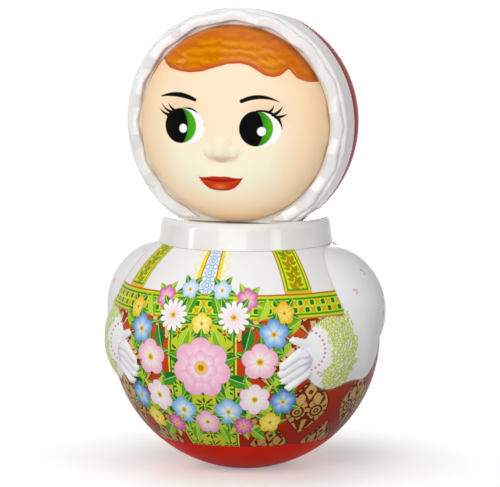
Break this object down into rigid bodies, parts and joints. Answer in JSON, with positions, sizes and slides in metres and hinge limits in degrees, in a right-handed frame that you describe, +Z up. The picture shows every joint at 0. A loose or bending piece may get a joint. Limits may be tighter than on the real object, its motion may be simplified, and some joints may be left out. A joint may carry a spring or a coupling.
{
  "type": "roly poly doll",
  "caption": "Round-bottomed tumbler doll in moulded plastic, with a turning head in a frilled bonnet, a weighted bowl and a chime of hammers and rods inside.",
  "frame": {"origin": "centre of the flat foot under the bowl, on the axis of the round body", "axes": "+Z up along the axis that the head turns on; the face looks along -Y; +X is the doll's left side"},
  "size_m": [0.173, 0.162, 0.2799],
  "materials": {
    "face_peach": "glossy moulded plastic with printed eyes and painted hair and lips",
    "bonnet_white": "glossy white moulded plastic",
    "bonnet_red": "glossy dark red moulded plastic",
    "collar_white": "glossy white moulded plastic",
    "body_print": "glossy white moulded plastic with a printed folk dress",
    "base_red": "glossy bright red moulded plastic",
    "neck_plastic": "plain moulded plastic",
    "clip_steel": "spring steel",
    "weight_iron": "as cast",
    "screw_steel": "zinc plated steel",
    "chime_plastic": "plain moulded plastic",
    "rod_steel": "drawn steel rod",
    "hammer_brass": "turned brass"
  },
  "bodies": {
    "root": {"collar": "collar_white", "body_front": "body_print", "body_back": "body_print", "base_bowl": "base_red", "counterweight": "weight_iron", "weight_screws": "screw_steel", "chime_base": "chime_plastic", "chime_post": "chime_plastic", "hammer_pins": "screw_steel", "tone_rod_1": "rod_steel", "tone_rod_2": "rod_steel", "tone_rod_3": "rod_steel", "tone_rod_4": "rod_steel"},
    "head": {"face_shell": "face_peach", "bonnet_frill": "bonnet_white", "bonnet_front": "bonnet_white", "bonnet_back": "bonnet_red", "neck_stem": "neck_plastic", "neck_clip": "clip_steel"},
    "hammer_body_1": {"hammer_1": "hammer_brass"},
    "hammer_body_2": {"hammer_2": "hammer_brass"},
    "hammer_body_3": {"hammer_3": "hammer_brass"},
    "hammer_body_4": {"hammer_4": "hammer_brass"}
  },
  "joints": [
    {"name": "head_turn", "type": "hinge", "parent": "root", "child": "head", "pos_m": [0, 0, 0.15], "axis": [0, 0, 1], "continuous": true},
    {"name": "hammer_swing_1", "type": "hinge", "parent": "root", "child": "hammer_body_1", "pos_m": [0.012, 0, 0.08289], "axis": [0, -1, 0], "range_deg": [-6.5, 11.5]},
    {"name": "hammer_swing_2", "type": "hinge", "parent": "root", "child": "hammer_body_2", "pos_m": [0, 0.012, 0.08289], "axis": [1, 0, 0], "range_deg": [-6.5, 11.5]},
    {"name": "hammer_swing_3", "type": "hinge", "parent": "root", "child": "hammer_body_3", "pos_m": [-0.012, 0, 0.08289], "axis": [0, 1, 0], "range_deg": [-6.5, 11.5]},
    {"name": "hammer_swing_4", "type": "hinge", "parent": "root", "child": "hammer_body_4", "pos_m": [0, -0.012, 0.08289], "axis": [-1, 0, 0], "range_deg": [-6.5, 11.5]}
  ]
}
